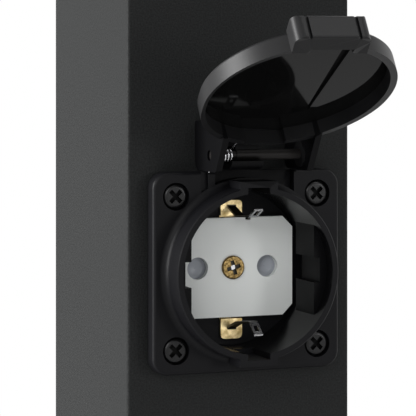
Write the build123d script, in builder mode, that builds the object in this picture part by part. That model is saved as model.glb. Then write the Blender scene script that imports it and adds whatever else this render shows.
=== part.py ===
from build123d import *
import os
from math import sqrt

# Bollard light with socket: a square extruded post on a foot plate, a light head with four
# windows at its top, and a flanged earthed socket with a sprung lid in its front face.
# Millimetres. +Z is up, the front faces -Y and the origin is the centre of the foot's underside.

# Whole object
total_height = 600.0
post_width = 60.0
socket_height = 320.0

# Foot plate and the spigot that fills the post's lower end
foot_width = 110.0
foot_thickness = 8.0
foot_corner_radius = 8.0
foot_edge_chamfer = 1.5
anchor_spacing = 86.0
anchor_hole_radius = 4.5
spigot_height = 34.0
spigot_wall = 5.0
spigot_clearance = 0.1
spigot_screw_rise = 20.0

# Cable inlet in the middle of the foot
inlet_radius = 10.0
inlet_bore_radius = 4.5
grommet_lip = 3.0
grommet_lip_thickness = 2.0

# Post extrusion with a screw port in each inner corner
post_wall = 2.5
post_edge_radius = 0.8
port_radius = 2.9
port_bore_radius = 1.65
port_inset = 5.0
port_margin = 0.4

# Light head
window_width = 42.0
window_height = 70.0
window_below_top = 18.0
window_corner_radius = 1.5
cap_thickness = 8.0
cap_gasket_thickness = 1.0
cap_chamfer = 1.2
diffuser_gap = 3.5
diffuser_wall = 2.5
diffuser_fit = 0.1
diffuser_gasket_thickness = 1.5
shelf_thickness = 6.0
shelf_below_window = 6.0
shelf_rim = 2.0
shelf_bore_radius = 5.0
spreader_thickness = 9.0
spreader_gap = 0.5
board_thickness = 1.6
board_inset = 0.5
chip_size = 3.0
chip_thickness = 0.8
chip_inset = 9.0
chip_count = 8
board_screw_inset = 3.5
board_screw_bite = 4.0
cone_height = 26.0
cone_tip_radius = 3.0
cone_gap = 1.0

# Tray with the terminal block and the lamp's driver
tray_width = 40.0
tray_thickness = 1.5
tray_height = 190.0
tray_setback = 12.5
tray_toe = 8.0
tray_toe_width = 32.0
tray_screw_spacing = 20.0
terminal_width = 36.0
terminal_height = 16.0
terminal_depth = 15.0
terminal_bottom = 62.0
terminal_ways = 3
terminal_pitch = 10.0
terminal_entry_radius = 2.2
driver_width = 34.0
driver_height = 86.0
driver_depth = 21.0
driver_bottom = 94.0
driver_edge_radius = 2.0
driver_ear_height = 8.0
driver_ear_thickness = 2.5

# Socket flange, collar and recess: depths count outward from the post's front face
flange_width = 50.0
flange_thickness = 3.85
flange_corner_radius = 4.0
flange_edge_radius = 0.9
flange_screw_spacing = 38.0
flange_screw_recess_radius = 3.45
flange_screw_recess_depth = 2.2
gasket_thickness = 1.0
gasket_margin = 0.4
collar_radius = 21.5
collar_height = 7.55
collar_root_radius = 1.8
collar_edge = 0.25
recess_radius = 19.9
recess_depth = 17.5
bump_width = 10.0
bump_reach = 22.75
notch_width = 5.9
notch_reach = 21.2
pad_half_gap = 16.4
pad_setback = 3.8
pad_back_gap = 2.6
pad_root = 0.5
pad_slot_height = 6.3
pad_slot_half_gap = 18.0
can_depth = 24.0
cutout_clearance = 0.3

# Hinge above the flange, placed from the socket's centre and the post's face
hinge_rise = 29.25
hinge_out = 9.97
pin_radius = 1.3
neck_radius = 1.05
neck_end = -5.4
pin_fit = 0.05
pin_end_inset = 0.3
pin_end_recess = 0.5
hub_boss = (3.2, 0.35)
left_arm = (-12.3, -10.7)
right_arm = (12.0, 13.6)
arm_root = 3.0
arm_root_share = 0.92
arm_stop_gap = 0.4
arm_back_low = (27.8, 2.5)
arm_back_high = (37.0, 0.5)
arm_front = 4.7
arm_low = 4.0
arm_high = 4.9
arm_corner_radius = 1.2
cradle = (-7.5, 0.9)
cradle_radius = 3.6
cradle_trough_radius = 2.2
cradle_web_height = 4.0
pocket = (-8.7, 12.6)
pocket_floor = 1.3
pocket_drop = 10.0
groove = (-12.4, -10.6)
groove_depth = 0.9

# Lid, modelled shut and turned open when it is written
lid_open_angle = 120.5
lid_radius = 23.9
lid_wall = 1.5
lid_overlap = 2.6
lid_height = 4.85
lid_top_thickness = 1.3
lid_edge_radius = 0.75
lid_groove_foot = (6.8, -18.0)
lid_groove_tip = (8.1, 12.0)
lid_groove_width = (2.2, 0.8)
lid_groove_head = (4.3, 1.2)
lid_notch = (10.4, 1.3, 3.2)
lid_groove_depth = 0.9
tab_offset = -1.1
tab_root_share = 0.96
tab_width = 19.2
tab_reach = 26.45
tab_corner_radius = 2.2
tab_edge_radius = 0.6
tab_behind = 0.7
tab_proud = 0.45
tab_groove_spacing = 12.6
tab_groove_width = 0.9
tab_groove_depth = 0.7
bump_gap = 0.35

# Lid spring on the hinge pin
spring_wire_radius = 0.28
spring_mean_radius = 1.45
spring_whole_turns = 4
spring_pitch = 0.85
spring_start = -9.8
spring_start_angle = 35.0
spring_leg_down = 6.4
spring_leg_up = 6.1

# Insert, shutter and contacts
insert_half_width = 16.9
insert_half_height = 13.0
insert_thickness = 1.6
insert_chamfer = 2.7
insert_mark_offset = 4.2
insert_mark_width = 1.4
insert_mark_depth = 0.7
pin_spacing = 19.0
pin_hole_radius = 2.8
floor_thickness = 3.0
carrier_fit = 0.05
carrier_depth = 13.0
carrier_half_width = 14.2
carrier_half_height = 13.3
shutter_thickness = 1.2
shutter_gap = 0.2
shutter_pad_radius = 3.5
shutter_dish_radius = 6.0
shutter_dish_depth = 0.35
shutter_hub_radius = 4.2
shutter_arm_width = 4.4
shutter_room = (27.2, 22.0)
shutter_room_corner = 6.0
boss_radius = 2.6
boss_fit = 0.08
centre_screw = (1.5, 3.0, 0.9)
sleeve_radius = 3.2
sleeve_bore_radius = 2.35
sleeve_length = 8.5
sleeve_slit = 0.8
strap_width = 5.8
strap_thickness = 0.8
strap_reach = 17.6
strap_rise = 3.4
strap_tip_radius = 2.8
strap_fit = 0.1
clip_width = 2.3
clip_thickness = 0.5
clip_heel = 15.8
clip_root = 15.2
clip_knee = (13.3, 6.5)
lower_clip = (12.3, 15.1)
upper_clip = (13.9, 15.7)
clip_waist_height = 15.0
clip_mouth_height = 18.6
clip_bend_radius = 0.6
clip_window = (1.1, 1.3)
return_wire_radius = 0.2
return_mean_radius = 3.4
return_pitch = 0.5
return_room_radius = 4.0
rear_cover_thickness = 2.0
rear_plug_depth = 3.0
rear_plug_wall = 1.4
rear_entry_radius = 4.5

# Screws: shank radius, head radius and head height of each kind, then lengths below the head
flange_screw = (1.5, 3.15, 1.9)
foot_screw = (2.5, 4.4, 2.4)
cap_screw = (1.6, 3.4, 1.9)
small_screw = (1.2, 2.3, 1.4)
screw_fit = 0.05
flange_screw_length = 9.0
foot_screw_length = 6.5
cap_screw_length = 22.0
small_screw_length = 6.0
crown_share = 0.5
slot_share = 0.62
slot_depth_share = 0.6
slot_width_share = 0.17
slot_core_share = 0.2

# Values that follow from the driving dimensions
post_top = total_height - cap_thickness - cap_gasket_thickness
post_length = post_top - foot_thickness
post_half = post_width / 2
post_inner = post_width - 2 * post_wall
diffuser_radius = post_inner / 2 - diffuser_gap
port_offset = post_half - port_inset
spigot_width = post_inner - 2 * spigot_clearance
corner_clip = spigot_width - 2 * port_offset + sqrt(2) * (port_radius + port_margin)
foot_screw_height = foot_thickness + spigot_screw_rise
window_top = post_top - window_below_top
window_bottom = window_top - window_height
shelf_top = window_bottom - shelf_below_window
shelf_bottom = shelf_top - shelf_thickness
shelf_screw_height = shelf_bottom + (shelf_thickness - shelf_rim) / 2
diffuser_bottom = shelf_top - shelf_rim
cap_bottom = total_height - cap_thickness
diffuser_top = cap_bottom - diffuser_gasket_thickness
diffuser_inner = diffuser_radius - diffuser_wall
spreader_radius = diffuser_inner - spreader_gap
spreader_bottom = cap_bottom - spreader_thickness
chip_circle_radius = spreader_radius - chip_inset
board_screw_circle_radius = spreader_radius - board_screw_inset
board_bottom = spreader_bottom - board_thickness
tray_bottom = foot_thickness
flange_front = gasket_thickness + flange_thickness
collar_front = flange_front + collar_height
insert_face = collar_front - recess_depth
floor_level = insert_face - insert_thickness
pad_front = collar_front - pad_setback
pad_back = insert_face + pad_back_gap
cutout_radius = collar_radius + cutout_clearance
shutter_face = floor_level - shutter_gap
shutter_back = shutter_face - shutter_thickness
room_floor = shutter_back - shutter_gap
strap_back = floor_level - strap_rise
strap_front = strap_back + strap_thickness
carrier_back = floor_level - carrier_depth
lid_rim = collar_front - lid_overlap
lid_face = lid_rim + lid_height
lid_floor = lid_face - lid_top_thickness
lid_inner_radius = lid_radius - lid_wall
tab_back = lid_rim - tab_behind
tab_front = lid_face + tab_proud

# Frames of reference on the socket's face and on the hinge
socket_origin = Vector(0, -post_half, socket_height)
hinge_point = socket_origin + Vector(0, -hinge_out, hinge_rise)
socket_plane = Plane(origin=socket_origin, x_dir=(1, 0, 0), z_dir=(0, -1, 0))
hinge_axis = Axis(hinge_point, (1, 0, 0))
socket_axis = Axis(socket_origin, (0, -1, 0))


def across(x):
    """Plane square to the hinge at X = x. Its own x runs outward from the post and its y runs up."""
    return Plane(origin=hinge_point + Vector(x, 0, 0), x_dir=(0, -1, 0), z_dir=(-1, 0, 0))


def socket_across(x):
    """Plane like across(x), with its origin on the socket's axis at the post's face."""
    return Plane(origin=socket_origin + Vector(x, 0, 0), x_dir=(0, -1, 0), z_dir=(-1, 0, 0))


def side_plane(turn):
    """Plane on one of the post's four faces, facing outward, with its own y up."""
    return Plane(
        origin=Vector(0, -post_half, 0).rotate(Axis.Z, turn),
        x_dir=Vector(1, 0, 0).rotate(Axis.Z, turn),
        z_dir=Vector(0, -1, 0).rotate(Axis.Z, turn),
    )


def screws(plane, kind, length, places):
    """Cross-head screws as one group: heads stand on the plane and shanks go down from it."""
    shank_radius, head_radius, head_height = kind
    slot_length = 2 * head_radius * slot_share
    slot_width = 2 * head_radius * slot_width_share
    with BuildPart() as made:
        with BuildSketch(plane):
            with Locations(*places):
                Circle(head_radius)
        extrude(amount=head_height)
        crowns = made.edges().filter_by(GeomType.CIRCLE).group_by(Axis(plane.origin, plane.z_dir))[-1]
        fillet(crowns, head_height * crown_share)
        with BuildSketch(plane):
            with Locations(*places):
                Circle(shank_radius)
        extrude(amount=-length)
        with BuildSketch(plane.offset(head_height)):
            with Locations(*places):
                Rectangle(slot_length, slot_width, rotation=45)
                Rectangle(slot_length, slot_width, rotation=-45)
                Circle(head_radius * slot_core_share)
        extrude(amount=-head_height * slot_depth_share, mode=Mode.SUBTRACT)
    return made.part


def write(piece, name):
    """Labels a finished piece and writes it under its own name."""
    piece.label = name
    export_step(piece, f"parts/{name}.step")
    print(name, round(piece.volume, 1), len(piece.solids()))


os.makedirs("parts", exist_ok=True)

# Foot plate: anchor holes and the cable inlet
with BuildPart() as foot_plate:
    with BuildSketch():
        RectangleRounded(foot_width, foot_width, foot_corner_radius)
    extrude(amount=foot_thickness)
    chamfer(foot_plate.faces().sort_by(Axis.Z)[-1].edges(), foot_edge_chamfer)
    with BuildSketch():
        with GridLocations(anchor_spacing, anchor_spacing, 2, 2):
            Circle(anchor_hole_radius)
        Circle(inlet_radius)
    extrude(amount=foot_thickness, mode=Mode.SUBTRACT)
    with BuildSketch():
        Circle(inlet_radius + grommet_lip)
    extrude(amount=grommet_lip_thickness, mode=Mode.SUBTRACT)
    with BuildSketch(Plane.XY.offset(foot_thickness)):
        with Locations((0, tray_setback + tray_toe / 2)):
            with GridLocations(tray_screw_spacing, 1, 2, 1):
                Circle(small_screw[0] + screw_fit)
    extrude(amount=-small_screw_length, mode=Mode.SUBTRACT)
write(foot_plate.part, "foot_plate")

# Foot spigot: a hollow frame welded to the plate, whose corners clear the post's screw ports
with BuildPart() as foot_spigot:
    with BuildSketch(Plane.XY.offset(foot_thickness)) as spigot:
        Rectangle(spigot_width, spigot_width)
        chamfer(spigot.vertices(), corner_clip)
        offset(amount=-spigot_wall, kind=Kind.INTERSECTION, mode=Mode.SUBTRACT)
    extrude(amount=spigot_height)
    for turn in (0, 90, 180, 270):
        with BuildSketch(side_plane(turn)):
            with Locations((0, foot_screw_height)):
                Circle(foot_screw[0] + screw_fit)
        extrude(amount=-(post_wall + spigot_clearance + spigot_wall), mode=Mode.SUBTRACT)
write(foot_spigot.part, "foot_spigot")

# Foot screws: one through each face of the post into the spigot
foot_screw_group = []
for turn in (0, 90, 180, 270):
    place = (0, foot_screw_height)
    foot_screw_group += screws(side_plane(turn), foot_screw, foot_screw_length, [place]).solids()
write(Compound(children=foot_screw_group), "foot_screws")

# Cable grommet: a rubber bush whose lip sits in the foot's counterbore
with BuildPart() as cable_grommet:
    with BuildSketch(Plane.XZ):
        with BuildLine():
            Polyline(
                (inlet_bore_radius, 0),
                (inlet_radius + grommet_lip, 0),
                (inlet_radius + grommet_lip, grommet_lip_thickness),
                (inlet_radius, grommet_lip_thickness),
                (inlet_radius, foot_thickness),
                (inlet_radius + grommet_lip / 2, foot_thickness),
                (inlet_radius, foot_thickness + grommet_lip_thickness),
                (inlet_bore_radius, foot_thickness + grommet_lip_thickness),
                close=True,
            )
        make_face()
    revolve(axis=Axis.Z)
write(cable_grommet.part, "cable_grommet")

# Post: an extrusion with four screw ports, cut through for the light windows and the socket
with BuildPart() as post:
    with BuildSketch(Plane.XY.offset(foot_thickness)) as section:
        Rectangle(post_width, post_width)
        fillet(section.vertices(), post_edge_radius)
        Rectangle(post_inner, post_inner, mode=Mode.SUBTRACT)
        with GridLocations(2 * port_offset, 2 * port_offset, 2, 2):
            Circle(port_radius)
        with GridLocations(2 * port_offset, 2 * port_offset, 2, 2):
            Circle(port_bore_radius, mode=Mode.SUBTRACT)
    extrude(amount=post_length)
    for turn in (0, 90):
        with BuildSketch(side_plane(turn)):
            with Locations((0, (window_top + window_bottom) / 2)):
                RectangleRounded(window_width, window_height, window_corner_radius)
        extrude(amount=-post_width, mode=Mode.SUBTRACT)
    for turn in (0, 90, 180, 270):
        with BuildSketch(side_plane(turn)):
            with Locations((0, foot_screw_height)):
                Circle(foot_screw[0] + screw_fit)
        extrude(amount=-post_wall, mode=Mode.SUBTRACT)
    for turn in (90, 270):
        with BuildSketch(side_plane(turn)):
            with Locations((0, shelf_screw_height)):
                Circle(small_screw[0] + screw_fit)
        extrude(amount=-post_wall, mode=Mode.SUBTRACT)
    with BuildSketch(socket_plane):
        Circle(cutout_radius)
        with GridLocations(flange_screw_spacing, flange_screw_spacing, 2, 2):
            Circle(flange_screw[0] + screw_fit)
    extrude(amount=-post_wall, mode=Mode.SUBTRACT)
write(post.part, "post")

# Gear tray: an L of sheet that stands on the foot inside the spigot
tray_screw_y = tray_setback + tray_toe / 2
with BuildPart() as gear_tray:
    with BuildSketch(Plane.XY.offset(tray_bottom)):
        with Locations((0, tray_setback)):
            Rectangle(tray_toe_width, tray_toe, align=(Align.CENTER, Align.MIN))
        with Locations((0, tray_screw_y)):
            with GridLocations(tray_screw_spacing, 1, 2, 1):
                Circle(small_screw[0] + screw_fit, mode=Mode.SUBTRACT)
    extrude(amount=tray_thickness)
    with BuildSketch(Plane.XZ.offset(-tray_setback)):
        with Locations((0, tray_bottom)):
            Rectangle(tray_width, tray_height, align=(Align.CENTER, Align.MIN))
    extrude(amount=-tray_thickness)
write(gear_tray.part, "gear_tray")

tray_places = [(-tray_screw_spacing / 2, tray_screw_y), (tray_screw_spacing / 2, tray_screw_y)]
tray_floor = Plane.XY.offset(tray_bottom + tray_thickness)
write(screws(tray_floor, small_screw, small_screw_length, tray_places), "tray_screws")

# Terminal block on the tray: a comb of cells with cable entries below and clamp screws in front
tray_face = Plane.XZ.offset(-tray_setback)
terminal_centre = terminal_bottom + terminal_height / 2
terminal_start = -(terminal_ways - 1) / 2 * terminal_pitch
terminal_places = [(terminal_start + i * terminal_pitch, terminal_centre) for i in range(terminal_ways)]
with BuildPart() as terminal_block:
    with BuildSketch(tray_face):
        with Locations((0, terminal_centre)):
            Rectangle(terminal_width, terminal_height)
    extrude(amount=terminal_depth)
    with BuildSketch(Plane.XY.offset(terminal_bottom)):
        with Locations((0, tray_setback - terminal_depth / 2)):
            with GridLocations(terminal_pitch, 1, terminal_ways, 1):
                Circle(terminal_entry_radius)
    extrude(amount=terminal_height, mode=Mode.SUBTRACT)
    with BuildSketch(tray_face.offset(terminal_depth)):
        with Locations(*terminal_places):
            Circle(small_screw[1] + screw_fit)
    extrude(amount=-small_screw[2], mode=Mode.SUBTRACT)
    with BuildSketch(tray_face.offset(terminal_depth)):
        with Locations(*terminal_places):
            Circle(small_screw[0] + screw_fit)
    extrude(amount=-terminal_depth / 2, mode=Mode.SUBTRACT)
write(terminal_block.part, "terminal_block")

clamp_length = terminal_depth / 2 - small_screw[2] - screw_fit
clamp_plane = tray_face.offset(terminal_depth - small_screw[2])
write(screws(clamp_plane, small_screw, clamp_length, terminal_places), "terminal_screws")

# Lamp driver: a closed box with a fixing ear at each end
driver_centre = driver_bottom + driver_height / 2
driver_ear_offset = driver_height / 2 + driver_ear_height / 2
driver_places = [(0, driver_centre - driver_ear_offset), (0, driver_centre + driver_ear_offset)]
with BuildPart() as led_driver:
    with BuildSketch(tray_face):
        with Locations((0, driver_centre)):
            RectangleRounded(driver_width, driver_height, driver_edge_radius)
    extrude(amount=driver_depth)
    fillet(led_driver.faces().sort_by(Axis.Y)[0].edges(), driver_edge_radius * 0.5)
    with BuildSketch(tray_face):
        with Locations((0, driver_centre)):
            Rectangle(driver_width * 0.5, driver_height + 2 * driver_ear_height)
        with Locations(*driver_places):
            Circle(small_screw[0] + screw_fit, mode=Mode.SUBTRACT)
    extrude(amount=driver_ear_thickness)
write(led_driver.part, "led_driver")

driver_screw_length = driver_ear_thickness - screw_fit
driver_plane = tray_face.offset(driver_ear_thickness)
write(screws(driver_plane, small_screw, driver_screw_length, driver_places), "driver_screws")

# Head shelf: carries the diffuser and the cone, and is screwed to the post's sides
with BuildPart() as head_shelf:
    with BuildSketch(Plane.XY.offset(shelf_bottom)) as shelf:
        Rectangle(spigot_width, spigot_width)
        chamfer(shelf.vertices(), corner_clip)
        Circle(shelf_bore_radius, mode=Mode.SUBTRACT)
    extrude(amount=shelf_thickness)
    with BuildSketch(Plane.XY.offset(shelf_top)):
        Circle(diffuser_radius + diffuser_fit)
    extrude(amount=-shelf_rim, mode=Mode.SUBTRACT)
    for turn in (90, 270):
        with BuildSketch(side_plane(turn)):
            with Locations((0, shelf_screw_height)):
                Circle(small_screw[0] + screw_fit)
        extrude(amount=-small_screw_length - screw_fit, mode=Mode.SUBTRACT)
write(head_shelf.part, "head_shelf")

shelf_screw_group = []
for turn in (90, 270):
    place = (0, shelf_screw_height)
    shelf_screw_group += screws(side_plane(turn), small_screw, small_screw_length, [place]).solids()
write(Compound(children=shelf_screw_group), "shelf_screws")

# Diffuser tube and its gasket under the cap
with BuildPart() as diffuser:
    with BuildSketch(Plane.XY.offset(diffuser_bottom)):
        Circle(diffuser_radius)
        Circle(diffuser_inner, mode=Mode.SUBTRACT)
    extrude(amount=diffuser_top - diffuser_bottom)
write(diffuser.part, "diffuser")

with BuildPart() as diffuser_gasket:
    with BuildSketch(Plane.XY.offset(diffuser_top)):
        Circle(diffuser_radius)
        Circle(diffuser_inner, mode=Mode.SUBTRACT)
    extrude(amount=diffuser_gasket_thickness)
write(diffuser_gasket.part, "diffuser_gasket")

# Cone that throws the lamp's light out through the windows
with BuildPart() as reflector_cone:
    with BuildSketch(Plane.XZ):
        with BuildLine():
            foot_edge = (diffuser_inner - cone_gap, diffuser_bottom)
            tip_edge = (cone_tip_radius, diffuser_bottom + cone_height)
            bore_foot = (shelf_bore_radius / 2, diffuser_bottom)
            bore_tip = (shelf_bore_radius / 2, diffuser_bottom + cone_height)
            Line(bore_foot, foot_edge)
            RadiusArc(foot_edge, tip_edge, -cone_height * 1.6)
            Polyline(tip_edge, bore_tip, bore_foot)
        make_face()
    revolve(axis=Axis.Z)
write(reflector_cone.part, "reflector_cone")

# Light source under the cap: heat spreader, board, chips and the screws that hold them
board_places = PolarLocations(board_screw_circle_radius, 3, start_angle=30)
with BuildPart() as heat_spreader:
    with BuildSketch(Plane.XY.offset(spreader_bottom)):
        Circle(spreader_radius)
        with board_places:
            Circle(small_screw[0] + screw_fit, mode=Mode.SUBTRACT)
    extrude(amount=spreader_thickness)
write(heat_spreader.part, "heat_spreader")

with BuildPart() as led_board:
    with BuildSketch(Plane.XY.offset(board_bottom)):
        Circle(spreader_radius - board_inset)
        with board_places:
            Circle(small_screw[0] + screw_fit, mode=Mode.SUBTRACT)
    extrude(amount=board_thickness)
write(led_board.part, "led_board")

with BuildPart() as led_chips:
    with BuildSketch(Plane.XY.offset(board_bottom - chip_thickness)):
        with PolarLocations(chip_circle_radius, chip_count):
            Rectangle(chip_size, chip_size)
    extrude(amount=chip_thickness)
write(led_chips.part, "led_chips")

board_under = Plane(origin=(0, 0, board_bottom), x_dir=(1, 0, 0), z_dir=(0, 0, -1))
board_screw_length = board_thickness + spreader_thickness + board_screw_bite
board_screw_points = [(place.position.X, -place.position.Y) for place in board_places]
write(screws(board_under, small_screw, board_screw_length, board_screw_points), "board_screws")

# Cap, its gasket and the four screws that run down into the post's ports
cap_places = [(x * port_offset, y * port_offset) for x in (-1, 1) for y in (-1, 1)]
with BuildPart() as cap_gasket:
    with BuildSketch(Plane.XY.offset(post_top)):
        Rectangle(post_width, post_width)
        Circle(diffuser_radius + cone_gap, mode=Mode.SUBTRACT)
        with Locations(*cap_places):
            Circle(cap_screw[0] + screw_fit, mode=Mode.SUBTRACT)
    extrude(amount=cap_gasket_thickness)
write(cap_gasket.part, "cap_gasket")

with BuildPart() as top_cap:
    with BuildSketch(Plane.XY.offset(cap_bottom)):
        Rectangle(post_width, post_width)
    extrude(amount=cap_thickness)
    chamfer(top_cap.faces().sort_by(Axis.Z)[-1].edges(), cap_chamfer)
    fillet(top_cap.edges().filter_by(Axis.Z), post_edge_radius)
    with BuildSketch(Plane.XY.offset(cap_bottom)):
        with Locations(*cap_places):
            Circle(cap_screw[0] + screw_fit)
    extrude(amount=cap_thickness, mode=Mode.SUBTRACT)
    with BuildSketch(Plane.XY.offset(total_height)):
        with Locations(*cap_places):
            Circle(cap_screw[1] + 2 * screw_fit)
    extrude(amount=-cap_screw[2], mode=Mode.SUBTRACT)
    with BuildSketch(Plane.XY.offset(cap_bottom)):
        with board_places:
            Circle(small_screw[0] + screw_fit)
    extrude(amount=board_screw_bite, mode=Mode.SUBTRACT)
write(top_cap.part, "top_cap")
cap_screw_seat = Plane.XY.offset(total_height - cap_screw[2])
write(screws(cap_screw_seat, cap_screw, cap_screw_length, cap_places), "cap_screws")

# Flange gasket between the socket's flange and the post
flange_places = [(x * flange_screw_spacing / 2, y * flange_screw_spacing / 2) for x in (-1, 1) for y in (-1, 1)]
with BuildPart() as flange_gasket:
    with BuildSketch(socket_plane):
        gasket_width = flange_width - 2 * gasket_margin
        RectangleRounded(gasket_width, gasket_width, flange_corner_radius - gasket_margin)
        Circle(cutout_radius, mode=Mode.SUBTRACT)
        with Locations(*flange_places):
            Circle(flange_screw[0] + screw_fit, mode=Mode.SUBTRACT)
    extrude(amount=gasket_thickness)
write(flange_gasket.part, "flange_gasket")

# Socket housing: flange, collar with its two key bumps, side guide pads, rear can and hinge cradle
axial_plane = Plane(origin=socket_origin, x_dir=(1, 0, 0), z_dir=(0, 0, -1))
pocket_top = flange_width / 2
with BuildPart() as socket_housing:
    with BuildSketch(socket_plane.offset(gasket_thickness)):
        RectangleRounded(flange_width, flange_width, flange_corner_radius)
    extrude(amount=flange_thickness)
    front_rim = socket_housing.faces().sort_by(socket_axis)[-1].edges()
    fillet(front_rim, flange_edge_radius)
    with BuildSketch(socket_plane.offset(gasket_thickness + pocket_floor)):
        with Locations(((pocket[0] + pocket[1]) / 2, pocket_top)):
            Rectangle(pocket[1] - pocket[0], 2 * pocket_drop)
    extrude(amount=flange_thickness, mode=Mode.SUBTRACT)
    with BuildSketch(socket_plane.offset(flange_front - groove_depth)):
        with Locations(((groove[0] + groove[1]) / 2, pocket_top)):
            Rectangle(groove[1] - groove[0], 2 * pocket_drop)
    extrude(amount=flange_thickness, mode=Mode.SUBTRACT)
    with BuildSketch(axial_plane):
        with BuildLine():
            root = (collar_radius + collar_root_radius, flange_front)
            spring_line = (collar_radius, flange_front + collar_root_radius)
            Polyline(
                spring_line,
                (collar_radius, collar_front - collar_edge),
                (collar_radius - collar_edge, collar_front),
                (recess_radius, collar_front),
                (recess_radius, -can_depth),
                (collar_radius, -can_depth),
                (collar_radius, gasket_thickness),
                (collar_radius + collar_root_radius, gasket_thickness),
                root,
            )
            RadiusArc(root, spring_line, collar_root_radius)
        make_face()
    revolve(axis=socket_axis)
    with BuildSketch(socket_plane.offset(gasket_thickness)):
        Rectangle(bump_width, 2 * bump_reach)
    extrude(amount=collar_front - gasket_thickness)
    with BuildSketch(across(cradle[1])):
        Circle(cradle_radius)
        Rectangle(hinge_out - gasket_thickness, cradle_radius, align=(Align.MAX, Align.MAX))
        with Locations((gasket_thickness - hinge_out, pocket_top - hinge_rise - cradle_web_height)):
            Rectangle(pocket_floor, hinge_rise - pocket_top + cradle_web_height, align=(Align.MIN, Align.MIN))
    extrude(amount=cradle[1] - cradle[0])
    with BuildSketch(across(cradle[1])):
        Circle(pin_radius + pin_fit)
        Rectangle(2 * cradle_radius, 2 * pin_radius + 2 * pin_fit, align=(Align.MIN, Align.CENTER))
        Rectangle(2 * cradle_radius, 2 * cradle_radius, align=(Align.MIN, Align.MIN))
    extrude(amount=cradle[1] - cradle[0], mode=Mode.SUBTRACT)
    with BuildSketch(across(neck_end)):
        Circle(cradle_trough_radius)
    extrude(amount=neck_end - cradle[0], mode=Mode.SUBTRACT)
    with BuildSketch(socket_plane.offset(collar_front)):
        Circle(recess_radius)
    extrude(amount=-(collar_front + can_depth), mode=Mode.SUBTRACT)
    with BuildSketch(socket_plane.offset(collar_front)):
        Rectangle(notch_width, 2 * notch_reach)
    extrude(amount=-(collar_front - gasket_thickness), mode=Mode.SUBTRACT)
    with BuildSketch(socket_plane.offset(pad_back)):
        Circle(recess_radius + pad_root)
        Rectangle(2 * pad_half_gap, 3 * recess_radius, mode=Mode.SUBTRACT)
        Rectangle(2 * pad_slot_half_gap, pad_slot_height, mode=Mode.SUBTRACT)
    extrude(amount=pad_front - pad_back)
    with BuildSketch(socket_plane.offset(flange_front)):
        with Locations(*flange_places):
            Circle(flange_screw_recess_radius)
    extrude(amount=-flange_screw_recess_depth, mode=Mode.SUBTRACT)
    with BuildSketch(socket_plane.offset(flange_front)):
        with Locations(*flange_places):
            Circle(flange_screw[0] + screw_fit)
    extrude(amount=-flange_thickness, mode=Mode.SUBTRACT)
write(socket_housing.part, "socket_housing")

flange_screw_seat = socket_plane.offset(flange_front - flange_screw_recess_depth)
write(screws(flange_screw_seat, flange_screw, flange_screw_length, flange_places), "flange_screws")

# Contact carrier: the recess floor, with the shutter's room, the strap's channel and two sleeve bores
pin_places = [(-pin_spacing / 2, 0), (pin_spacing / 2, 0)]
sleeve_back = room_floor - sleeve_length
riser_inside = insert_half_height + strap_fit
riser_outside = riser_inside + strap_thickness
earth_screw_place = (0, carrier_half_height / 2)
with BuildPart() as contact_carrier:
    with BuildSketch(socket_plane.offset(floor_level)):
        Circle(recess_radius - carrier_fit)
    extrude(amount=-floor_thickness)
    with BuildSketch(socket_plane.offset(floor_level)):
        Rectangle(2 * carrier_half_width, 2 * carrier_half_height)
    extrude(amount=-carrier_depth)
    with BuildSketch(socket_plane.offset(floor_level)):
        RectangleRounded(*shutter_room, shutter_room_corner)
    extrude(amount=room_floor - floor_level, mode=Mode.SUBTRACT)
    with BuildSketch(socket_plane.offset(floor_level)):
        Rectangle(strap_width + 2 * strap_fit, 2 * (riser_outside + strap_fit))
    extrude(amount=strap_back - floor_level, mode=Mode.SUBTRACT)
    with BuildSketch(socket_plane.offset(room_floor)):
        Circle(return_room_radius)
    extrude(amount=strap_front - room_floor, mode=Mode.SUBTRACT)
    with BuildSketch(socket_plane.offset(room_floor)):
        with Locations(*pin_places):
            Circle(sleeve_radius + carrier_fit)
    extrude(amount=-sleeve_length, mode=Mode.SUBTRACT)
    with BuildSketch(socket_plane.offset(carrier_back)):
        Circle(centre_screw[0] + screw_fit)
        with Locations(*pin_places, earth_screw_place):
            Circle(small_screw[0] + screw_fit)
    extrude(amount=sleeve_back - carrier_back, mode=Mode.SUBTRACT)
    with BuildSketch(socket_plane.offset(strap_back)):
        Circle(centre_screw[0] + screw_fit)
    extrude(amount=carrier_back - strap_back, mode=Mode.SUBTRACT)
write(contact_carrier.part, "contact_carrier")

carrier_rear = Plane(origin=socket_plane.offset(carrier_back).origin, x_dir=(-1, 0, 0), z_dir=(0, 1, 0))
contact_screw_length = sleeve_back - carrier_back
contact_places = [*pin_places, earth_screw_place]
write(screws(carrier_rear, small_screw, contact_screw_length, contact_places), "contact_screws")

# Line sleeves: slit tubes behind the pin holes
with BuildPart() as line_sleeves:
    with BuildSketch(socket_plane.offset(room_floor)):
        with Locations(*pin_places):
            Circle(sleeve_radius)
            Circle(sleeve_bore_radius, mode=Mode.SUBTRACT)
            Rectangle(2 * sleeve_radius, sleeve_slit, align=(Align.MIN, Align.CENTER), mode=Mode.SUBTRACT)
    extrude(amount=-sleeve_length)
write(line_sleeves.part, "line_sleeves")

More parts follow.
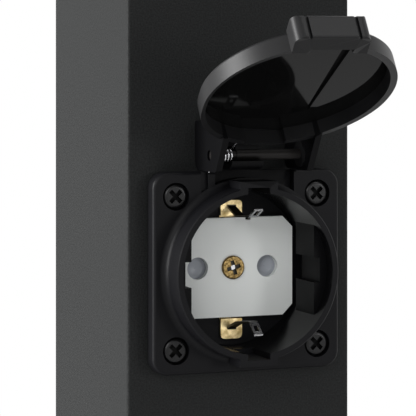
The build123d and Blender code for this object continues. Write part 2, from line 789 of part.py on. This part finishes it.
# Earth strap: folded strip under the insert whose rounded tips lie on the recess floor
with BuildPart() as earth_strap:
    with BuildSketch(socket_across(strap_width / 2)):
        upper = [
            (strap_back, riser_outside),
            (floor_level, riser_outside),
            (floor_level, strap_reach),
            (floor_level + strap_thickness, strap_reach),
            (floor_level + strap_thickness, riser_inside),
            (strap_front, riser_inside),
        ]
        with BuildLine():
            Polyline(*upper, *[(out, -up) for out, up in reversed(upper)], close=True)
        make_face()
    extrude(amount=strap_width)
    tips = earth_strap.edges().filter_by(socket_axis).group_by(Axis.Z)
    fillet(tips[0] + tips[-1], strap_tip_radius)
    with BuildSketch(socket_plane.offset(strap_back)):
        Circle(centre_screw[0] + screw_fit)
    extrude(amount=strap_thickness, mode=Mode.SUBTRACT)
write(earth_strap.part, "earth_strap")

# Earth clips: spring strips that stand on the strap and flare open at the recess mouth
def earth_clip(side, waist, mouth):
    """One clip: above the axis for side 1 and below it for side -1."""
    path = [
        (floor_level + strap_thickness + clip_thickness / 2, clip_heel),
        (floor_level + strap_thickness + clip_thickness / 2, clip_root),
        (floor_level + clip_knee[1], clip_knee[0]),
        (floor_level + clip_waist_height, waist),
        (floor_level + clip_mouth_height, mouth),
    ]
    with BuildPart() as made:
        with BuildSketch(socket_across(clip_width / 2)):
            with BuildLine() as clip_line:
                FilletPolyline(*[(out, side * up) for out, up in path], radius=clip_bend_radius)
            trace(clip_line.edges(), line_width=clip_thickness)
        extrude(amount=clip_width)
        with BuildSketch(socket_plane.offset(floor_level + (clip_waist_height + clip_mouth_height) / 2)):
            with Locations((0, side * (waist + mouth) / 2)):
                Rectangle(*clip_window)
        extrude(amount=clip_mouth_height - clip_waist_height, both=True, mode=Mode.SUBTRACT)
    return made.part


earth_clip_pair = earth_clip(1, *upper_clip).solids() + earth_clip(-1, *lower_clip).solids()
write(Compound(children=earth_clip_pair), "earth_clips")

# Insert plate: chamfered corners, pin holes and a boss behind it that the shutter turns on
with BuildPart() as insert_plate:
    with BuildSketch(socket_plane.offset(insert_face)) as face:
        Rectangle(2 * insert_half_width, 2 * insert_half_height)
        chamfer(face.vertices(), insert_chamfer)
        with Locations(*pin_places):
            Circle(pin_hole_radius, mode=Mode.SUBTRACT)
        with Locations((insert_mark_offset, insert_half_height)):
            Rectangle(insert_mark_width, 2 * insert_mark_depth, mode=Mode.SUBTRACT)
    extrude(amount=-insert_thickness)
    with BuildSketch(socket_plane.offset(floor_level)):
        Circle(boss_radius)
    extrude(amount=strap_front - floor_level)
    with BuildSketch(socket_plane.offset(insert_face)):
        Circle(centre_screw[0] + screw_fit)
    extrude(amount=strap_front - insert_face, mode=Mode.SUBTRACT)
write(insert_plate.part, "insert_plate")

centre_screw_length = insert_face - carrier_back
write(screws(socket_plane.offset(insert_face), centre_screw, centre_screw_length, [(0, 0)]), "centre_screw")

# Shutter: a rotor with two dished pads that close the pin holes
with BuildPart() as shutter:
    with BuildSketch(socket_plane.offset(shutter_face)):
        Circle(shutter_hub_radius)
        Rectangle(pin_spacing, shutter_arm_width)
        with Locations(*pin_places):
            Circle(shutter_pad_radius)
        Circle(boss_radius + boss_fit, mode=Mode.SUBTRACT)
    extrude(amount=-shutter_thickness)
    with Locations(socket_plane.offset(shutter_face + shutter_dish_radius - shutter_dish_depth)):
        with Locations(*pin_places):
            Sphere(shutter_dish_radius, mode=Mode.SUBTRACT)
write(shutter.part, "shutter")

# Shutter's return spring: one turn in its own room behind the hub, wound about +Z and then placed
return_plane = socket_plane.offset((strap_front + room_floor - return_pitch) / 2)
with BuildPart() as shutter_spring:
    with BuildLine() as return_coil:
        Helix(return_pitch, return_pitch, return_mean_radius)
    with BuildSketch(return_coil.line ^ 0):
        Circle(return_wire_radius)
    sweep(path=return_coil.line, is_frenet=True)
write(return_plane.location * shutter_spring.part, "shutter_spring")

# Rear cover of the socket, plugged into the can
with BuildPart() as rear_cover:
    with BuildSketch(socket_plane.offset(-can_depth)):
        Circle(collar_radius)
        Circle(rear_entry_radius, mode=Mode.SUBTRACT)
    extrude(amount=-rear_cover_thickness)
    with BuildSketch(socket_plane.offset(-can_depth)):
        Circle(recess_radius - carrier_fit)
        Circle(recess_radius - carrier_fit - rear_plug_wall, mode=Mode.SUBTRACT)
    extrude(amount=rear_plug_depth)
write(rear_cover.part, "rear_cover")

# Thumb tab, joined to the lid below: rounded corners in plan and rounded edges along its end
with BuildPart() as tab:
    with BuildSketch(socket_plane.offset(tab_back)) as tab_plan:
        with Locations((tab_offset, -tab_reach)):
            Rectangle(tab_width, tab_reach - lid_inner_radius * tab_root_share, align=(Align.CENTER, Align.MIN))
        fillet(tab_plan.vertices().group_by(Axis.Y)[0], tab_corner_radius)
    extrude(amount=tab_front - tab_back)
    with BuildSketch(socket_across(tab_width)) as tab_side:
        with Locations((tab_back, 0)):
            Rectangle(tab_front - tab_back, tab_reach, align=(Align.MIN, Align.MAX))
        fillet(tab_side.vertices().group_by(Axis.Y)[0], tab_edge_radius)
    extrude(amount=2 * tab_width, mode=Mode.INTERSECT)
    with BuildSketch(socket_plane.offset(tab_back)):
        with Locations((tab_offset, -tab_reach)):
            with GridLocations(tab_groove_spacing, 1, 2, 1):
                Rectangle(tab_groove_width, 2 * tab_groove_depth)
    extrude(amount=tab_front - tab_back, mode=Mode.SUBTRACT)

# Lid: a shallow cup with the tab and two arms round the pin, whose back corners stop at the post
# The arms' corners are given as they stand when the lid is open, and turned shut here
back_corners = [
    (arm_stop_gap + radius - hinge_out, rise - hinge_rise, radius)
    for rise, radius in (arm_back_low, arm_back_high)
]
front_corners = [
    (arm_front - arm_corner_radius, rise, arm_corner_radius)
    for rise in (arm_corner_radius - arm_low, arm_high - arm_corner_radius)
]
with BuildPart() as lid:
    with BuildSketch(socket_plane.offset(lid_rim)):
        Circle(lid_radius)
    extrude(amount=lid_height)
    fillet(lid.faces().sort_by(socket_axis)[-1].edges(), lid_edge_radius)
    add(tab.part)
    for start, end in (left_arm, right_arm):
        with BuildSketch(across(end)):
            with Locations((lid_rim - hinge_out, -hinge_rise + lid_inner_radius * arm_root_share)):
                Rectangle(lid_height - lid_edge_radius, arm_root, align=(Align.MIN, Align.MAX))
            for out, up, radius in back_corners + front_corners:
                with Locations(Vector(out, up).rotate(Axis.Z, -lid_open_angle)):
                    Circle(radius)
            make_hull()
        extrude(amount=end - start)
    with BuildSketch(across(right_arm[0])):
        Circle(hub_boss[0])
    extrude(amount=hub_boss[1])
    with BuildSketch(socket_plane.offset(tab_back)):
        Circle(lid_inner_radius)
        Rectangle(bump_width + 2 * bump_gap, 2 * (bump_reach + bump_gap))
    extrude(amount=lid_floor - tab_back, mode=Mode.SUBTRACT)
    with BuildSketch(socket_plane.offset(lid_floor)):
        with BuildLine():
            Polyline(
                (lid_groove_foot[0] - lid_groove_width[0] / 2, lid_groove_foot[1]),
                (lid_groove_foot[0] + lid_groove_width[0] / 2, lid_groove_foot[1]),
                (lid_groove_tip[0] + lid_groove_width[1] / 2, lid_groove_tip[1]),
                (lid_groove_tip[0] - lid_groove_width[1] / 2, lid_groove_tip[1]),
                close=True,
            )
        make_face()
        with Locations(lid_groove_foot):
            Rectangle(*lid_groove_head, align=(Align.CENTER, Align.MIN))
        with Locations((lid_notch[0], lid_groove_foot[1])):
            Rectangle(*lid_notch[1:], align=(Align.CENTER, Align.MIN))
    extrude(amount=lid_groove_depth, mode=Mode.SUBTRACT)
    with BuildSketch(across(right_arm[1])):
        Circle(pin_radius + pin_fit)
    extrude(amount=right_arm[1] - neck_end, mode=Mode.SUBTRACT)
    with BuildSketch(across(left_arm[1])):
        Circle(neck_radius + pin_fit)
    extrude(amount=left_arm[1] - left_arm[0], mode=Mode.SUBTRACT)
    with BuildSketch(across(left_arm[0])):
        Circle(pin_radius)
    extrude(amount=-pin_end_recess, mode=Mode.SUBTRACT)
write(lid.part.rotate(hinge_axis, -lid_open_angle), "lid")

# Hinge pin with a thinner neck that carries the spring and ends in the left arm
with BuildPart() as hinge_pin:
    with BuildSketch(across(right_arm[1] - pin_end_inset)):
        Circle(pin_radius)
    extrude(amount=right_arm[1] - pin_end_inset - neck_end)
    with BuildSketch(across(neck_end)):
        Circle(neck_radius)
    extrude(amount=neck_end - left_arm[0] - pin_end_recess)
write(hinge_pin.part, "hinge_pin")

# Lid spring: coils round the pin's neck with a leg down on the flange and a leg up to the lid's rim
# It is wound about +Z from a start on +X, then placed with its start toward the post
spring_turns = spring_whole_turns + (180 - lid_open_angle - spring_start_angle) / 360
spring_inward = Vector(0, 1, 0).rotate(Axis.X, spring_start_angle)
spring_plane = Plane(origin=hinge_point + Vector(spring_start, 0, 0), x_dir=spring_inward, z_dir=(1, 0, 0))
with BuildPart() as lid_spring:
    with BuildLine() as coil:
        Helix(spring_pitch, spring_turns * spring_pitch, spring_mean_radius)
    with BuildSketch(coil.line ^ 0):
        Circle(spring_wire_radius)
    sweep(path=coil.line, is_frenet=True)
    with BuildSketch(coil.line ^ 0):
        Circle(spring_wire_radius)
    extrude(amount=-spring_leg_down)
    with BuildSketch(coil.line ^ 1):
        Circle(spring_wire_radius)
    extrude(amount=spring_leg_up)
write(spring_plane.location * lid_spring.part, "lid_spring")
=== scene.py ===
import math

import bpy
from mathutils import Matrix, Vector


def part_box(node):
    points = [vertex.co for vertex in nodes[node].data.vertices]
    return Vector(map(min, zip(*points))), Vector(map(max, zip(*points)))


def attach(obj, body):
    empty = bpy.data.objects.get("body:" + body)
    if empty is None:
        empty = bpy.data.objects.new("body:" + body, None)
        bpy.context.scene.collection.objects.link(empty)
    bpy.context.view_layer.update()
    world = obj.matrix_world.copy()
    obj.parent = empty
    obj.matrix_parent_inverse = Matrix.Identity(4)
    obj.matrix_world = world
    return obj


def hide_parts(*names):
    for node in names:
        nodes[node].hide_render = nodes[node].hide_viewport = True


# Bollard light with socket, dressed for its render. Metres, in the CAD model's frame: +Z is up and
# the front faces -Y. Every CAD piece keeps its own mesh. Four of them are replaced by changed copies,
# which ride on the same bodies.

# Camera, worked out from the photograph: it stands above the socket and looks level, with its lens
# shifted down, so that the post's edges stay upright
CAMERA_TURN = math.radians(21.429)
CAMERA_DISTANCE = 0.521954
CAMERA_ASIDE = 0.008099
CAMERA_ABOVE = -0.054343
FOCAL_PIXELS = 2076.156
SHIFT_PIXELS = -154.983
IMAGE_PIXELS = 416
SENSOR_MM = 36.0
CLIP_START = 0.01

# Distances of the camera from the foot's middle: the whole shift holds up to the near one and none is
# left from the far one, so that a camera that steps back sees the whole bollard in its middle
SHIFT_NEAR = 0.8
SHIFT_FAR = 1.6

# Light: each lamp's place, its size and its power
WORLD_STRENGTH = 0.25
LAMPS = {
    "side": ((-1.5, 0.25, 0.7), 0.8, 58.0),
    "key": ((-0.85, -1.0, 0.95), 0.7, 8.0),
    "front": ((-0.35, -1.3, 0.75), 0.6, 2.2),
    "glint": ((0.47, -0.7, 1.33), 0.4, 2.4),
    "spot": ((0.78, -1.27, 0.46), 0.3, 2.7),
    "back": ((1.0, 1.2, 1.3), 1.2, 5.0),
}
FLOOR_RADIUS = 0.9
FLOOR_SIDES = 96

# Noise in the materials: its detail, the part of its range that a mottle uses, and the depth of fine relief
BUMP_DETAIL = 2.0
MOTTLE_DETAIL = 3.0
MOTTLE_RANGE = (0.35, 0.65)
FINE_RELIEF = 0.00001

# Lid, as its own CAD piece stands: the angle it is open by, the distance from the hinge's axis to its
# middle, how deep its floor and its groove lie beyond that axis, and the floor's radius
LID_OPEN = math.radians(120.5)
LID_HINGE_RISE = 0.02925
LID_FLOOR_DEPTHS = (0.0033, 0.00345)
LID_GROOVE_DEPTHS = (0.00345, 0.00435)
LID_FLOOR_REACH = 0.0224

# Shaded places on the housing and the lid's arms, where the shade is painted in as a deeper black, and the
# recess's wall
ARM_SIDES = ((-0.0124, -0.0106), (0.0119, 0.0137))
ARM_REACH = 0.0112
POCKET_SIDES = (-0.0088, 0.0127)
POCKET_RISE = 0.0222
POCKET_BEHIND_HINGE = -0.004
RECESS_REACH = 0.0202
RECESS_EDGE = 0.0004
PAD_REACH = 0.0195
PAD_START = 0.0162

# Earth strap's tips: how square they are, and how far each reaches beside its plain solid. The clips are
# darker behind the place given along Y, deeper in the recess.
TIP_POWER = 6.0
TIP_SHIFT_UP = 0.78
TIP_SHIFT_DOWN = 1.2
CLIP_DARK_START = -0.0385

# Insert's outline: how far it is drawn in, and the half width and half height of the middle that stays
INSERT_TRIM = 0.0004
INSERT_CORE = (0.0126, 0.006)

# Lid's cup and tab, as the photograph shows them: the cup stands to the right and is a little narrower.
# This starts and is whole at two distances from the hinge's axis. Its inner wall takes a share of it, and
# the notch for the key bump none. The tab stands further outward, from its own distance on.
CUP_START = 0.0125
CUP_FULL = 0.024
CUP_ASIDE = 0.0008
CUP_NARROWER = 0.018
CUP_INSIDE = 0.0229
CUP_INSIDE_SHARE = 0.4
CUP_NOTCH_HALF = 0.0056
CUP_NOTCH_REACH = 0.02378
TAB_START = 0.0532
TAB_OUTWARD = 0.0012

# Crosses in the screws' heads, whose arms get painted shade
FLANGE_HEAD_RADIUS = 0.00315
FLANGE_CROSS_REACH = 0.0021
CENTRE_CROSS_REACH = 0.002
CENTRE_CORE_REACH = 0.0008
CENTRE_CROSS_TURN = math.radians(30.0)
CROSS_MARGIN = 0.0001

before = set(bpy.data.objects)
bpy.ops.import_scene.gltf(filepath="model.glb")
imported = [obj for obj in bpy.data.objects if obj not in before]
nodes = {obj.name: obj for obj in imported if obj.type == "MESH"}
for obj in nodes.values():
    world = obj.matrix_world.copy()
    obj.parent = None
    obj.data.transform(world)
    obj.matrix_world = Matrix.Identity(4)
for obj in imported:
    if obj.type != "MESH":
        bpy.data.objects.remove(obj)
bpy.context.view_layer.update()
scene = bpy.context.scene
scene.view_settings.view_transform = "Standard"

socket_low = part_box("socket_housing")[0]
post_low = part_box("post")[0]
gasket_low, gasket_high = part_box("flange_gasket")
socket_centre = Vector((0.0, post_low.y, (gasket_low.z + gasket_high.z) / 2))
pin_low, pin_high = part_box("hinge_pin")
hinge_centre = Vector((0.0, (pin_low.y + pin_high.y) / 2, (pin_low.z + pin_high.z) / 2))
pocket_front = hinge_centre.y + POCKET_BEHIND_HINGE

# Directions of the open lid: from its inner side to its outer face, and from the hinge to its tab
lid_outward = Vector((0.0, -math.cos(LID_OPEN), math.sin(LID_OPEN)))
lid_away = Vector((0.0, -math.sin(LID_OPEN), -math.cos(LID_OPEN)))


# Colours
def linear(value):
    """Scene-linear value of an sRGB value from 0 to 255, by the standard's own formula."""
    v = value / 255
    if v <= 0.04045:
        return v / 12.92
    return ((v + 0.055) / 1.055) ** 2.4


def colour(red, green, blue):
    """Scene-linear colour with alpha from sRGB values from 0 to 255."""
    return (linear(red), linear(green), linear(blue), 1.0)


# Camera
def shift_by_distance(camera):
    """Shifts the lens as the photograph's was, near the object, and not at all from further away."""
    curve = camera.data.driver_add("shift_y")
    curve.driver.type = "AVERAGE"
    distance = curve.driver.variables.new()
    distance.type = "LOC_DIFF"
    distance.targets[0].id = camera
    distance.targets[1].id = nodes["foot_plate"]
    while curve.modifiers:
        curve.modifiers.remove(curve.modifiers[0])
    curve.keyframe_points.clear()
    for place, shift in ((SHIFT_NEAR, SHIFT_PIXELS / IMAGE_PIXELS), (SHIFT_FAR, 0.0)):
        key = curve.keyframe_points.insert(place, shift)
        key.interpolation = "LINEAR"
    curve.extrapolation = "CONSTANT"


def set_camera():
    """Places the camera so that the render has the photograph's frame."""
    forward = Vector((math.sin(CAMERA_TURN), math.cos(CAMERA_TURN), 0.0))
    right = Vector((math.cos(CAMERA_TURN), -math.sin(CAMERA_TURN), 0.0))
    up = right.cross(forward)
    place = socket_centre - CAMERA_DISTANCE * forward - CAMERA_ASIDE * right - CAMERA_ABOVE * up
    data = bpy.data.cameras.new("photo_camera")
    data.sensor_width = SENSOR_MM
    data.lens = FOCAL_PIXELS / IMAGE_PIXELS * SENSOR_MM
    data.clip_start = CLIP_START
    camera = bpy.data.objects.new("photo_camera", data)
    turned = Matrix((right, up, -forward)).transposed()
    camera.matrix_world = Matrix.Translation(place) @ turned.to_4x4()
    scene.collection.objects.link(camera)
    scene.camera = camera
    shift_by_distance(camera)


# Materials
def shader(name, base, roughness, metallic=0.0, specular=0.5):
    """New material with plain values on its shader. Returns the material and its Principled node."""
    made = bpy.data.materials.new(name)
    made.use_nodes = True
    principled = made.node_tree.nodes["Principled BSDF"]
    principled.inputs["Base Color"].default_value = colour(*base)
    principled.inputs["Roughness"].default_value = roughness
    principled.inputs["Metallic"].default_value = metallic
    principled.inputs["Specular IOR Level"].default_value = specular
    return made, principled


def noise(made, grain, detail):
    """Noise in the piece's own frame, whose grains are about that many metres wide."""
    tree = made.node_tree
    place = tree.nodes.new("ShaderNodeTexCoord")
    texture = tree.nodes.new("ShaderNodeTexNoise")
    texture.inputs["Scale"].default_value = 1 / grain
    texture.inputs["Detail"].default_value = detail
    tree.links.new(place.outputs["Object"], texture.inputs["Vector"])
    return texture


def add_bump(made, principled, grain, depth):
    """Fine relief on the surface, depth in metres."""
    tree = made.node_tree
    texture = noise(made, grain, BUMP_DETAIL)
    bump = tree.nodes.new("ShaderNodeBump")
    bump.inputs["Distance"].default_value = depth
    bump.inputs["Strength"].default_value = 1.0
    tree.links.new(texture.outputs["Fac"], bump.inputs["Height"])
    tree.links.new(bump.outputs["Normal"], principled.inputs["Normal"])


def add_mottle(made, principled, grain, dark, light):
    """Colour that wanders between two values with the noise."""
    tree = made.node_tree
    texture = noise(made, grain, MOTTLE_DETAIL)
    ramp = tree.nodes.new("ShaderNodeValToRGB")
    for element, position, value in zip(ramp.color_ramp.elements, MOTTLE_RANGE, (dark, light)):
        element.position = position
        element.color = colour(*value)
    tree.links.new(texture.outputs["Fac"], ramp.inputs["Fac"])
    tree.links.new(ramp.outputs["Color"], principled.inputs["Base Color"])


def powder_coat(name):
    """Anthracite coat with a fine grain in colour and relief."""
    made, principled = shader(name, (25, 26, 26), roughness=0.55, specular=0.1)
    add_mottle(made, principled, grain=0.0004, dark=(15, 16, 16), light=(31, 32, 32))
    add_bump(made, principled, grain=0.0005, depth=0.00006)
    return made


def mottled_brass(name, dark, light, grain):
    """Used brass with darker and brighter patches."""
    made, principled = shader(name, light, roughness=0.35, metallic=1.0)
    add_mottle(made, principled, grain, dark, light)
    return made


def plain(name, base, roughness, metallic=0.0, specular=0.5, grain=0.0, depth=0.0):
    """Material of one colour, with fine relief where a grain is given."""
    made, principled = shader(name, base, roughness, metallic, specular)
    if grain:
        add_bump(made, principled, grain, depth)
    return made


PLAIN_LOOKS = {
    "socket_black": dict(base=(10, 10, 12), roughness=0.45, specular=0.09, grain=0.0012, depth=FINE_RELIEF),
    "recess_black": dict(base=(9, 9, 10), roughness=0.22, specular=0.08, grain=0.002, depth=FINE_RELIEF),
    "shade_black": dict(base=(5, 5, 6), roughness=0.45, specular=0.06),
    "lid_black": dict(base=(12, 12, 13), roughness=0.42, specular=0.2),
    "lid_gloss": dict(base=(9, 9, 9), roughness=0.05, specular=0.06),
    "deep_clip_dark": dict(base=(50, 48, 44), roughness=0.4, metallic=1.0),
    # Darker brass for painted shade in the arms of the centre screw's cross
    "cross_painted_shade": dict(base=(30, 28, 22), roughness=0.5, metallic=0.5),
    # Near-black for painted shade in the lid's groove and in the flange screws' crosses
    "groove_painted_shade": dict(base=(9, 9, 9), roughness=0.6, specular=0.05),
    "insert_grey": dict(base=(222, 225, 223), roughness=0.45, specular=0.4, grain=0.0008, depth=FINE_RELIEF),
    "shutter_grey": dict(base=(144, 148, 155), roughness=0.35, specular=0.4),
    "white_plastic": dict(base=(228, 228, 224), roughness=0.35),
    "opal": dict(base=(238, 238, 232), roughness=0.4),
    "board_white": dict(base=(222, 224, 220), roughness=0.45),
    "chip_yellow": dict(base=(226, 196, 92), roughness=0.3),
    "black_steel": dict(base=(14, 14, 15), roughness=0.3, metallic=0.3, specular=0.3),
    "pin_steel": dict(base=(20, 18, 17), roughness=0.5, metallic=0.3, specular=0.2),
    "bright_steel": dict(base=(196, 196, 198), roughness=0.25, metallic=1.0),
    "galvanised": dict(base=(170, 174, 178), roughness=0.4, metallic=1.0, grain=0.004, depth=2 * FINE_RELIEF),
    "aluminium": dict(base=(200, 202, 204), roughness=0.35, metallic=1.0),
    "rubber": dict(base=(28, 28, 28), roughness=0.75, specular=0.2),
}
MATERIALS = {name: plain(name, **look) for name, look in PLAIN_LOOKS.items()}
MATERIALS["powder_coat"] = powder_coat("powder_coat")
MATERIALS["brass"] = mottled_brass("brass", (180, 156, 104), (250, 228, 176), grain=0.0016)
MATERIALS["screw_brass"] = mottled_brass("screw_brass", (80, 64, 36), (156, 132, 86), grain=0.0005)

FINISHES = {
    "powder_coat": ["post", "foot_plate", "foot_spigot", "top_cap"],
    "socket_black": ["socket_housing", "contact_carrier"],
    "lid_black": ["lid"],
    "insert_grey": ["insert_plate", "rear_cover"],
    "shutter_grey": ["shutter"],
    "white_plastic": ["terminal_block", "led_driver", "reflector_cone"],
    "opal": ["diffuser"],
    "board_white": ["led_board"],
    "chip_yellow": ["led_chips"],
    "black_steel": ["flange_screws"],
    "pin_steel": ["hinge_pin"],
    "bright_steel": [
        "foot_screws", "tray_screws", "driver_screws", "shelf_screws", "board_screws", "cap_screws",
        "earth_clips", "lid_spring", "shutter_spring",
    ],
    "galvanised": ["gear_tray"],
    "aluminium": ["head_shelf", "heat_spreader"],
    "brass": ["terminal_screws", "contact_screws", "line_sleeves", "earth_strap"],
    "screw_brass": ["centre_screw"],
    "rubber": ["cable_grommet", "diffuser_gasket", "cap_gasket", "flange_gasket"],
}


def dress(piece, material):
    """Gives a piece one material all over."""
    piece.data.materials.clear()
    piece.data.materials.append(material)


for finish, names in FINISHES.items():
    for name in names:
        dress(nodes[name], MATERIALS[finish])


# Faces with a material of their own
def paint_faces(piece, material, chosen):
    """Gives the faces whose centre passes the test another material."""
    piece.data.materials.append(material)
    slot = len(piece.data.materials) - 1
    for face in piece.data.polygons:
        if chosen(piece.matrix_world @ face.center):
            face.material_index = slot


def in_lid(point, depths):
    """Whether a point lies inside the lid's rim and between two depths, as the lid's piece stands."""
    offset = point - hinge_centre - lid_away * LID_HINGE_RISE
    depth = offset.dot(lid_outward)
    return depths[0] < depth < depths[1] and (offset - depth * lid_outward).length < LID_FLOOR_REACH


def in_arm(point):
    """Whether a point of the lid is on one of its two arms."""
    beside = any(side[0] < point.x < side[1] for side in ARM_SIDES)
    return beside and (point - hinge_centre).dot(lid_away) < ARM_REACH


def in_pocket(point):
    """Whether a point of the housing is in the flange's hinge pocket or on the cradle."""
    up = point.z - socket_centre.z
    return POCKET_SIDES[0] < point.x < POCKET_SIDES[1] and up > POCKET_RISE and point.y > pocket_front


def in_recess(point):
    """Whether a point of the housing is on the wall inside the recess."""
    radius = math.hypot(point.x, point.z - socket_centre.z)
    return radius < RECESS_REACH and point.y > socket_low.y + RECESS_EDGE


def on_pad(point):
    """Whether a point of the housing is on a guide pad inside the recess."""
    radius = math.hypot(point.x, point.z - socket_centre.z)
    return radius < PAD_REACH and abs(point.x) > PAD_START


def in_cross(point, centre, face_y, reach):
    """Whether a point lies below a screw head's face and within reach of its axis, along Y."""
    aside = math.hypot(point.x - centre.x, point.z - centre.z)
    return point.y > face_y + CROSS_MARGIN and aside < reach


def paint_flange_crosses():
    """Paints shade into the crosses in the heads of the flange's four screws, as a near-black."""
    low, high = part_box("flange_screws")
    for x in (low.x, high.x):
        for z in (low.z, high.z):
            outward_x = math.copysign(FLANGE_HEAD_RADIUS, x)
            outward_z = math.copysign(FLANGE_HEAD_RADIUS, z - socket_centre.z)
            head = Vector((x, 0.0, z)) - Vector((outward_x, 0.0, outward_z))
            paint_faces(
                nodes["flange_screws"], MATERIALS["groove_painted_shade"],
                lambda point, head=head: in_cross(point, head, low.y, FLANGE_CROSS_REACH),
            )


paint_faces(nodes["socket_housing"], MATERIALS["recess_black"], in_recess)
# Painted shade: the hinge pocket, the guide pads and the lid's arms get a deeper black
paint_faces(nodes["socket_housing"], MATERIALS["shade_black"], in_pocket)
paint_faces(nodes["socket_housing"], MATERIALS["shade_black"], on_pad)
paint_faces(nodes["lid"], MATERIALS["shade_black"], in_arm)
paint_faces(nodes["lid"], MATERIALS["lid_gloss"], lambda point: in_lid(point, LID_FLOOR_DEPTHS))
# Painted shade in the lid's groove: its faces are near-black
paint_faces(nodes["lid"], MATERIALS["groove_painted_shade"], lambda point: in_lid(point, LID_GROOVE_DEPTHS))
# The earth clips are darker deeper in the recess, behind the place given along Y
paint_faces(nodes["earth_clips"], MATERIALS["deep_clip_dark"], lambda point: point.y > CLIP_DARK_START)
paint_flange_crosses()


# Changed copies that replace CAD pieces
def own_copy(name):
    """Copy of a CAD piece with a mesh of its own."""
    piece = nodes[name].copy()
    piece.data = piece.data.copy()
    scene.collection.objects.link(piece)
    return piece


def turned_screw():
    """The centre screw with its cross turned about its own axis, as it stands in the photograph."""
    piece = own_copy("centre_screw")
    to_axis = Matrix.Translation(socket_centre)
    piece.data.transform(to_axis @ Matrix.Rotation(CENTRE_CROSS_TURN, 4, "Y") @ to_axis.inverted())
    face_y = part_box("centre_screw")[0].y
    # The cross's arms get painted shade as darker brass; the middle of the cross is bright steel
    for material, reach in (("cross_painted_shade", CENTRE_CROSS_REACH), ("bright_steel", CENTRE_CORE_REACH)):
        paint_faces(
            piece, MATERIALS[material],
            lambda point, reach=reach: in_cross(point, socket_centre, face_y, reach),
        )
    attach(piece, "bollard")
    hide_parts("centre_screw")


def squared_strap():
    """The earth strap with squarer tips than its plain solid, set as the photograph shows them."""
    piece = own_copy("earth_strap")
    low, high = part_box("earth_strap")
    half = (high.x - low.x) / 2
    start = (high.z - low.z) / 2 - half
    for vertex in piece.data.vertices:
        up = vertex.co.z - socket_centre.z
        past = abs(up) - start
        if past <= 0:
            continue
        across = abs(vertex.co.x) / half
        along = past / half
        blunt = math.hypot(across, along) / (across ** TIP_POWER + along ** TIP_POWER) ** (1 / TIP_POWER)
        stretch = TIP_SHIFT_UP if up > 0 else TIP_SHIFT_DOWN
        vertex.co.x *= blunt
        vertex.co.z = socket_centre.z + math.copysign(start + past * blunt * stretch, up)
    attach(piece, "bollard")
    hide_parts("earth_strap")


def trimmed_insert():
    """The insert plate with its outline drawn in a little, as the photograph shows it."""
    piece = own_copy("insert_plate")
    for vertex in piece.data.vertices:
        up = vertex.co.z - socket_centre.z
        if abs(vertex.co.x) > INSERT_CORE[0]:
            vertex.co.x -= math.copysign(INSERT_TRIM, vertex.co.x)
        if abs(up) > INSERT_CORE[1]:
            vertex.co.z -= math.copysign(INSERT_TRIM, up)
    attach(piece, "bollard")
    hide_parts("insert_plate")


def settled_lid():
    """The lid with its cup a little to the right and its tab further out, as the photograph shows them."""
    piece = own_copy("lid")
    for vertex in piece.data.vertices:
        reach = (vertex.co - hinge_centre).dot(lid_away)
        share = min(1.0, max(0.0, (reach - CUP_START) / (CUP_FULL - CUP_START)))
        radius = math.hypot(vertex.co.x, reach - LID_HINGE_RISE)
        if abs(vertex.co.x) < CUP_NOTCH_HALF and radius < CUP_NOTCH_REACH:
            share = 0.0
        elif radius < CUP_INSIDE:
            share *= CUP_INSIDE_SHARE
        vertex.co.x += share * (CUP_ASIDE - CUP_NARROWER * vertex.co.x)
        if reach > TAB_START:
            vertex.co += TAB_OUTWARD * lid_outward
    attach(piece, "lid")
    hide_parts("lid")


turned_screw()
squared_strap()
trimmed_insert()
settled_lid()


# Floor, lights and background
def add_floor():
    """Pale round floor under the bollard."""
    bpy.ops.mesh.primitive_circle_add(
        vertices=FLOOR_SIDES, radius=FLOOR_RADIUS, fill_type="NGON", location=(0, 0, 0)
    )
    floor = bpy.context.object
    floor.name = "floor"
    floor.data.materials.append(plain("floor", (235, 235, 235), roughness=0.8, specular=0.1))


def add_lamp(name, place, size, power):
    """Square soft lamp that faces the socket."""
    data = bpy.data.lights.new(name, "AREA")
    data.size = size
    data.energy = power
    lamp = bpy.data.objects.new(name, data)
    lamp.location = place
    lamp.rotation_euler = (socket_centre - Vector(place)).to_track_quat("-Z", "Y").to_euler()
    scene.collection.objects.link(lamp)


def set_world():
    """White to the camera, to reflections and to clear material, and plain soft light on the object."""
    world = bpy.data.worlds.new("studio")
    scene.world = world
    world.use_nodes = True
    tree = world.node_tree
    background = tree.nodes["Background"]
    background.inputs["Color"].default_value = (1.0, 1.0, 1.0, 1.0)
    path = tree.nodes.new("ShaderNodeLightPath")
    white_to = path.outputs["Is Camera Ray"]
    for ray in ("Is Glossy Ray", "Is Transmission Ray"):
        either = tree.nodes.new("ShaderNodeMath")
        either.operation = "MAXIMUM"
        tree.links.new(white_to, either.inputs[0])
        tree.links.new(path.outputs[ray], either.inputs[1])
        white_to = either.outputs[0]
    strength = tree.nodes.new("ShaderNodeMapRange")
    strength.inputs["To Min"].default_value = WORLD_STRENGTH
    strength.inputs["To Max"].default_value = 1.0
    tree.links.new(white_to, strength.inputs["Value"])
    tree.links.new(strength.outputs["Result"], background.inputs["Strength"])


set_camera()
add_floor()
set_world()
for name, (place, size, power) in LAMPS.items():
    add_lamp(name, place, size, power)
